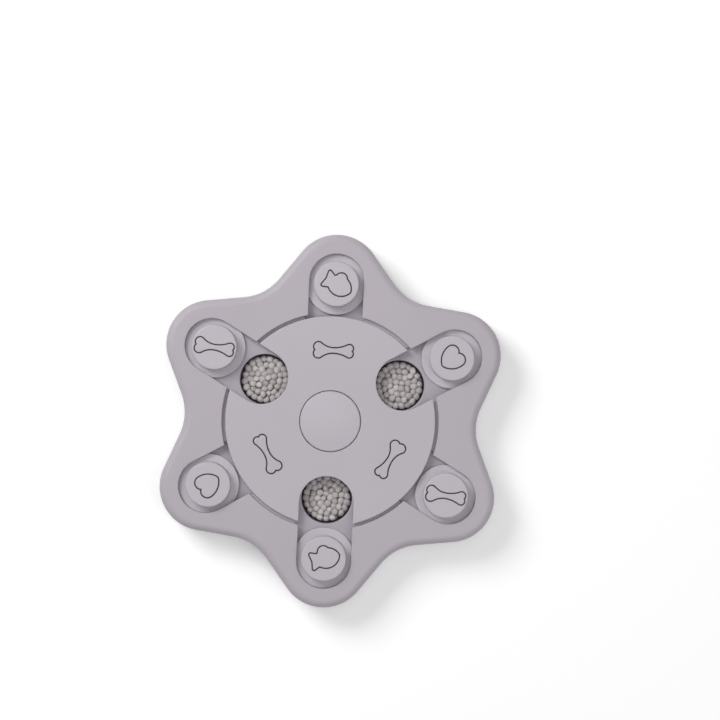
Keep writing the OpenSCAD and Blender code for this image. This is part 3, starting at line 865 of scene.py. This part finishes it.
def fish_edge(length, points=240):
    """The edge of a chubby fish that heads along +X, found where rays towards its middle first meet it."""
    body_length = 0.79 * length
    body_height = 0.6 * length
    side = (body_length ** 2 + body_height ** 2) / (4 * body_height)
    body_x = (length - body_length) / 2
    fin_centre = (0.05 * length, 0.22 * length)
    fin_radius = 0.17 * length
    tip = Vector((-0.365 * length, 0.23 * length))
    tip_radius = 0.035 * length
    tip_top = tip + Vector((0, tip_radius))
    tip_back = tip - Vector((tip_radius, 0))
    root = Vector((-0.2 * length, 0.2 * length))
    fork = Vector((-0.36 * length, 0))
    outside = 0.7 * length
    close_enough = 0.001 * mm
    most_steps = 80

    def beyond(p, a, b):
        along = (b - a).normalized()
        return (p - a).dot(Vector((-along.y, along.x)))

    def field(point):
        body = max(disc_field(point, (body_x, side - body_height / 2), side),
                   disc_field(point, (body_x, body_height / 2 - side), side))
        fin = disc_field(point, fin_centre, fin_radius)
        p = Vector((point.x, abs(point.y)))
        over = -beyond(p, root, tip_top)
        behind = -beyond(p, tip_back, fork)
        tail = max(over, -beyond(p, tip_top, tip_back), behind, p.x)
        return min(body, fin, disc_field(p, tip, tip_radius), tail)

    def edge(grow):
        found = []
        for i in range(points):
            way = polar(1, 360 * i / points)
            distance = outside
            for _ in range(most_steps):
                gap = field(way * distance) - grow
                distance -= gap
                if gap < close_enough:
                    break
            found.append(way * distance)
        return found
    return edge


def lid(number, motif, edge, heading):
    """One sliding lid: rings that follow the flange, the knob and the emblem from the hollow underside up."""
    angle = lobe_angle(number)
    centre = polar(lid_centre, angle)
    mesh = emblem_mesh()
    ways = [360 * i / lid_points for i in range(lid_points)]

    def flange(inset):
        """The flange's outline: round, with a flat on each side along the channel."""
        points = []
        for way in ways:
            across = abs(math.sin(math.radians(way - angle)))
            radius = flange_radius - inset
            if across * radius > flange_half - inset:
                radius = (flange_half - inset) / across
            points.append(centre + polar(radius, way))
        return points

    def round_path(radius):
        return [centre + polar(radius, way) for way in ways]

    hollow = knob_radius - lid_wall
    rings = stack(mesh, round_path, [(hollow, knob_top - lid_wall), (hollow, lid_base)])
    rings += stack(mesh, flange, [(flange_chamfer, lid_base), (0, lid_base + flange_chamfer),
                                  (0, flange_top - flange_chamfer), (flange_chamfer, flange_top)])
    knob = [(knob_radius + foot, flange_top + rise) for foot, rise in knob_fillet]
    knob += [(knob_radius - inset, height) for inset, height in round_over(knob_round, knob_top, 7)]
    rings += stack(mesh, round_path, knob)
    skin(mesh, rings, closed=True)
    cap(mesh, rings[0][::-1])

    mark = emblem(mesh, edge, knob_top, lambda p: centre + turned(p, heading))
    cap(mesh, rings[-1], mark)
    piece = new_piece(f"lid_{number}_{motif}", mesh, lid_plastic)
    settle(piece)
    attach(piece, f"slider_{number}")
    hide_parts(f"slider_{number}_{motif}")


fish = fish_edge(20 * mm)
heart = heart_edge(14 * mm)
lid_bone = bone_edge(24 * mm, 9.4 * mm, 7.6 * mm, 2.7 * mm)
lid(1, "fish", fish, -28)
lid(2, "heart", heart, 41 - 90)
lid(3, "bone", lid_bone, 180 - 7)
lid(4, "fish", fish, 17)
lid(5, "heart", heart, 218 - 90)
lid(6, "bone", lid_bone, 180 - 7)


# ---- Squeaker button ----
# A low domed disc in the lids' plastic that stands in the middle of the turntable.
# It is pressed on to the bellows below, and a catch on its stem hooks under the hub ring.

button_low, button_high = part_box("squeaker_button")
button_radius = button_high.x
button_rim_base = button_high.z - 4.2 * mm
button_rim_top = button_high.z - 1.4 * mm
button_wall = 1.4 * mm
button_seat = button_rim_top - button_wall
button_shoulder = 1.1 * mm
stem_radius = 10.2 * mm
stem_hollow = stem_radius - button_wall
catch_radius = 11.9 * mm
catch_top = button_low.z + 1.4 * mm
dome_radius = button_radius - button_shoulder - 0.3 * mm
dome_steps = 18


def dome(radius, base, rise, steps):
    """Radius and height along a low dome, from its edge to its crown."""
    sphere = (radius ** 2 + rise ** 2) / (2 * rise)
    half = math.degrees(math.asin(radius / sphere))
    points = arc((0, base + rise - sphere), sphere, 90 - half, 90, steps)
    return [(p.x, p.y) for p in points[:-1]] + [(0, base + rise)]


mesh = bmesh.new()
profile = [(0, button_seat), (stem_hollow, button_seat), (stem_hollow, button_low.z)]
profile += [(catch_radius, button_low.z), (catch_radius, catch_top)]
profile += [(stem_radius, catch_top), (stem_radius, button_seat)]
profile += [(button_radius - button_wall, button_seat), (button_radius - button_wall, button_rim_base)]
profile += [(button_radius, button_rim_base)]
shoulder = round_over(button_shoulder, button_rim_top, 6)
profile += [(button_radius - inset, height) for inset, height in shoulder]
profile += dome(dome_radius, button_rim_top, button_high.z - button_rim_top, dome_steps)
lathe(mesh, profile)
button = new_piece("button_cap", mesh, lid_plastic)
settle(button)
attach(button, "button")
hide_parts("squeaker_button")


# ---- Squeaker bellows, reed and screws ----
# Hidden inside the hub: dark rubber bellows, pressed flatter by the button, over a pale plastic reed.
# The screws are zinc-plated steel, three in the hub ring and six countersunk in the bottom plate.

bellows_low, bellows_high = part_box("squeaker_bellows")
bellows_radius = bellows_high.x
bellows_wall = 0.9 * mm
bellows_floor = bellows_low.z + bellows_wall
bellows_ceiling = bellows_high.z - bellows_wall
pleat_count = 5
pleat_depth = 1.5 * mm
pleat_steps = 8
rubber_steps = 64
touch_gap = 0.02 * mm

rubber = grained("rubber", (0.052, 0.052, 0.058), clouding=0.12, grain_size=800.0, grain_depth=0.6,
                 sheen=(0.6, 0.8))
reed_plastic = grained("reed_plastic", (0.62, 0.60, 0.58))
zinc = grained("zinc", (0.56, 0.57, 0.60), clouding=0.1, grain_size=2500.0, grain_depth=0.2,
               sheen=(0.25, 0.45), metal=True)


def pleats(radius):
    """Radius and height along the pleated wall, from the floor up."""
    count = pleat_count * pleat_steps
    points = []
    for i in range(count + 1):
        fold = pleat_depth * (0.5 - 0.5 * math.cos(math.tau * i / pleat_steps))
        points.append((radius - fold, bellows_floor + (bellows_ceiling - bellows_floor) * i / count))
    return points


mesh = bmesh.new()
bellows_top = bellows_high.z - touch_gap
profile = [(reed_hole, bellows_low.z), (bellows_radius, bellows_low.z)] + pleats(bellows_radius)
profile += [(bellows_radius, bellows_top - corner), (bellows_radius - corner, bellows_top), (0, bellows_top)]
lathe(mesh, profile, rubber_steps)
profile = [(0, bellows_ceiling)] + pleats(bellows_radius - bellows_wall)[::-1]
profile += [(reed_hole, bellows_floor), (reed_hole, bellows_low.z)]
lathe(mesh, profile, rubber_steps)
bellows = new_piece("bellows_pleated", mesh, rubber)
settle(bellows)
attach(bellows, "housing")
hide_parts("squeaker_bellows")
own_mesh(bellows)

refinish("squeaker_reed", reed_plastic)
refinish("hub_screws", zinc)
refinish("cover_screws", zinc)


# ---- Feet ----
# Six round pads of the bellows' dark rubber, pressed into shape and glued into shallow seats in the
# bottom plate, one below each lobe. Two grooves round the middle of each give it grip.

foot_low, foot_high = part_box("foot_1")
foot_radius = (foot_high.x - foot_low.x) / 2
foot_round = 0.5 * mm
grip_radii = (1.6 * mm, 3.6 * mm)
grip_depth = 0.3 * mm
grip_section = [(0, 0), (0.2 * mm, grip_depth), (0.7 * mm, grip_depth), (0.9 * mm, 0)]
foot_sharp = 35

profile = [(0, 0)]
for radius in grip_radii:
    profile += [(radius + across, depth) for across, depth in grip_section]
for inset, height in round_over(foot_round, foot_round)[::-1]:
    profile.append((foot_radius - inset, foot_low.z + foot_round - height))
profile += [(foot_radius, foot_high.z), (0, foot_high.z)]
for number in range(1, lobe_count + 1):
    mesh = bmesh.new()
    lathe(mesh, profile, rubber_steps, centre=polar(foot_distance, lobe_angle(number)))
    foot = new_piece(f"foot_pad_{number}", mesh, rubber)
    settle(foot, sharp=foot_sharp)
    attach(foot, "housing")
    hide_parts(f"foot_{number}")


# ---- Kibble ----
# Three wells hold a heap of small baked pellets, each a slightly flattened ball of its own shape.
# They lie loose but shaken down, so they touch, and every pellet is turned and sized differently.
# Their lower sides are painted darker, as shade.

heap_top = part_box("kibble_well_2")[1].z
heap_radius = well_radius - 0.3 * mm
heap_crown = 2.6 * mm
heap_lobes = (2, 4, 6)
layer_count = 3
layer_drop = 2.6 * mm
pellet_radius = 2.7 * mm
pellet_count = 50
pellet_spacing = 4.35 * mm
pellet_form = (1.0, 0.92, 0.75)
pellet_tilt = 0.5
smallest_pellet = 0.88
largest_pellet = 1.08
heap_reach = heap_radius - 1.05 * pellet_radius
sunk_mm = 0.9
golden_angle = 137.5
angle_play = 40
push_share = 0.25
tone_seed = 7
dent_scale = 260.0
dent_depth = 1.4 * mm
crumb_scale = 1400.0
crumb_bump = {"Distance": 0.25 * mm, "Strength": 0.6}
darkest_tone = (0.520, 0.470, 0.465, 1)
palest_tone = (0.690, 0.645, 0.650, 1)
# Painted shade: a pellet's colour is scaled from near black where its surface faces down to full where it
# faces up.
painted_shade_by_slope = {"From Min": -0.2, "From Max": 0.7, "To Min": 0.06, "To Max": 1.0}

kibble_crumb = bpy.data.materials.new("kibble_crumb")
nodes, links = new_tree(kibble_crumb)
surface = nodes.new("ShaderNodeOutputMaterial")
shader = add(nodes, "ShaderNodeBsdfPrincipled", {"Roughness": 0.8})
links.new(shader.outputs["BSDF"], surface.inputs["Surface"])
tone = add(nodes, "ShaderNodeAttribute", attribute_name="pellet_tone")
ramp = nodes.new("ShaderNodeValToRGB")
ramp.color_ramp.elements[0].color = darkest_tone
ramp.color_ramp.elements[1].color = palest_tone
links.new(tone.outputs["Fac"], ramp.inputs["Fac"])
place = nodes.new("ShaderNodeTexCoord")
crumb = add(nodes, "ShaderNodeTexNoise", {"Scale": crumb_scale, "Detail": 4.0})
links.new(place.outputs["Object"], crumb.inputs["Vector"])
speckle = add(nodes, "ShaderNodeMix", {"Factor": 0.3}, data_type="RGBA", blend_type="MULTIPLY")
links.new(ramp.outputs["Color"], speckle.inputs["A"])
links.new(crumb.outputs["Color"], speckle.inputs["B"])
# Painted shade on each pellet's lower sides and underside, from how far its surface faces up.
facing_value = add(nodes, "ShaderNodeAttribute", attribute_name="pellet_height")
underside_shade = add(nodes, "ShaderNodeMapRange", painted_shade_by_slope)
links.new(facing_value.outputs["Fac"], underside_shade.inputs["Value"])
shaded_tone = add(nodes, "ShaderNodeVectorMath", operation="SCALE")
links.new(speckle.outputs["Result"], shaded_tone.inputs["Vector"])
links.new(underside_shade.outputs["Result"], shaded_tone.inputs["Scale"])
links.new(shaded_tone.outputs["Vector"], shader.inputs["Base Color"])
bump = add(nodes, "ShaderNodeBump", crumb_bump)
links.new(crumb.outputs["Fac"], bump.inputs["Height"])
links.new(bump.outputs["Normal"], shader.inputs["Normal"])


def pellet_heap(name):
    """Geometry Nodes: a pellet at each place, turned, sized, toned and dented by itself."""
    tree = bpy.data.node_groups.new(name, "GeometryNodeTree")
    give_sockets(tree, "INPUT", Places="Geometry", Pellet_Radius="Float", Smallest="Float",
                 Largest="Float", Dent_Depth="Float", Seed="Int", Finish="Material")
    give_sockets(tree, "OUTPUT", Pellets="Geometry")
    nodes, links = tree.nodes, tree.links
    given = nodes.new("NodeGroupInput")
    ball = add(nodes, "GeometryNodeMeshIcoSphere", {"Subdivisions": 2})
    links.new(given.outputs["Pellet Radius"], ball.inputs["Radius"])
    # Each point of the ball keeps how far its surface faces up, and the material paints shade from it.
    facing = nodes.new("GeometryNodeInputNormal")
    upward = nodes.new("ShaderNodeSeparateXYZ")
    links.new(facing.outputs["Normal"], upward.inputs["Vector"])
    facing_store = add(nodes, "GeometryNodeStoreNamedAttribute", {"Name": "pellet_height"},
                       data_type="FLOAT", domain="POINT")
    links.new(ball.outputs["Mesh"], facing_store.inputs["Geometry"])
    links.new(upward.outputs["Z"], facing_store.inputs["Value"])
    flatten = add(nodes, "GeometryNodeTransform", {"Scale": pellet_form})
    links.new(facing_store.outputs["Geometry"], flatten.inputs["Geometry"])
    turn_range = {"Min": (-pellet_tilt, -pellet_tilt, 0.0), "Max": (pellet_tilt, pellet_tilt, math.tau)}
    turn = add(nodes, "FunctionNodeRandomValue", turn_range, data_type="FLOAT_VECTOR")
    links.new(given.outputs["Seed"], turn.inputs["Seed"])
    size = add(nodes, "FunctionNodeRandomValue", data_type="FLOAT")
    links.new(given.outputs["Smallest"], size.inputs[2])
    links.new(given.outputs["Largest"], size.inputs[3])
    links.new(given.outputs["Seed"], size.inputs["Seed"])
    pellets = nodes.new("GeometryNodeInstanceOnPoints")
    links.new(given.outputs["Places"], pellets.inputs["Points"])
    links.new(flatten.outputs["Geometry"], pellets.inputs["Instance"])
    links.new(turn.outputs["Value"], pellets.inputs["Rotation"])
    links.new(size.outputs[1], pellets.inputs["Scale"])
    tone_value = add(nodes, "FunctionNodeRandomValue", {"Seed": tone_seed}, data_type="FLOAT")
    tone_store = add(nodes, "GeometryNodeStoreNamedAttribute", {"Name": "pellet_tone"},
                     data_type="FLOAT", domain="INSTANCE")
    links.new(pellets.outputs["Instances"], tone_store.inputs["Geometry"])
    links.new(tone_value.outputs[1], tone_store.inputs["Value"])
    real = nodes.new("GeometryNodeRealizeInstances")
    links.new(tone_store.outputs["Geometry"], real.inputs["Geometry"])
    dents = add(nodes, "ShaderNodeTexNoise", {"Scale": dent_scale, "Detail": 2.0})
    middle = add(nodes, "ShaderNodeVectorMath", {1: (0.5, 0.5, 0.5)}, operation="SUBTRACT")
    links.new(dents.outputs["Color"], middle.inputs[0])
    depth = add(nodes, "ShaderNodeVectorMath", operation="SCALE")
    links.new(middle.outputs["Vector"], depth.inputs["Vector"])
    links.new(given.outputs["Dent Depth"], depth.inputs["Scale"])
    push = nodes.new("GeometryNodeSetPosition")
    links.new(real.outputs["Geometry"], push.inputs["Geometry"])
    links.new(depth.outputs["Vector"], push.inputs["Offset"])
    smooth = nodes.new("GeometryNodeSetShadeSmooth")
    links.new(push.outputs["Geometry"], smooth.inputs["Geometry"])
    finish = nodes.new("GeometryNodeSetMaterial")
    links.new(smooth.outputs["Geometry"], finish.inputs["Geometry"])
    links.new(given.outputs["Finish"], finish.inputs["Material"])
    result = nodes.new("NodeGroupOutput")
    links.new(finish.outputs["Geometry"], result.inputs["Pellets"])
    return tree


def shaken_down(count, reach, spacing, seed, shakes=50):
    """Places in a round layer, pushed apart until they lie about evenly, none further out than reach."""
    chance = random.Random(seed)
    places = [polar(reach * math.sqrt((i + 0.5) / count), golden_angle * i + angle_play * chance.random())
              for i in range(count)]
    for _ in range(shakes):
        for i, place in enumerate(places):
            for j in range(i):
                apart = place - places[j]
                short = spacing - apart.length
                if short > 0:
                    push = apart.normalized() * push_share * short
                    place += push
                    places[j] -= push
        for place in places:
            place *= min(1, reach / place.length)
    return places


heap_tree = pellet_heap("pellet_heap")
for number in heap_lobes:
    centre = polar(well_distance, lobe_angle(number))
    chance = random.Random(number)
    mesh = bmesh.new()
    for layer in range(layer_count):
        for place in shaken_down(pellet_count, heap_reach, pellet_spacing, 10 * number + layer):
            crown = heap_crown * (1 - (place.length / heap_radius) ** 2)
            height = heap_top - heap_crown + crown - pellet_radius
            height -= layer * layer_drop
            height -= chance.uniform(0, sunk_mm) * mm
            mesh.verts.new((*(centre + place), height))
    heap = new_piece(f"pellets_{number}", mesh, kibble_crumb)
    scatter = heap.modifiers.new("scatter", "NODES")
    scatter.node_group = heap_tree
    give_inputs(scatter, Pellet_Radius=pellet_radius, Smallest=smallest_pellet, Largest=largest_pellet,
                Dent_Depth=dent_depth, Seed=number, Finish=kibble_crumb)
    apply_modifiers(heap)
    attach(heap, "housing")
    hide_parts(f"kibble_well_{number}")
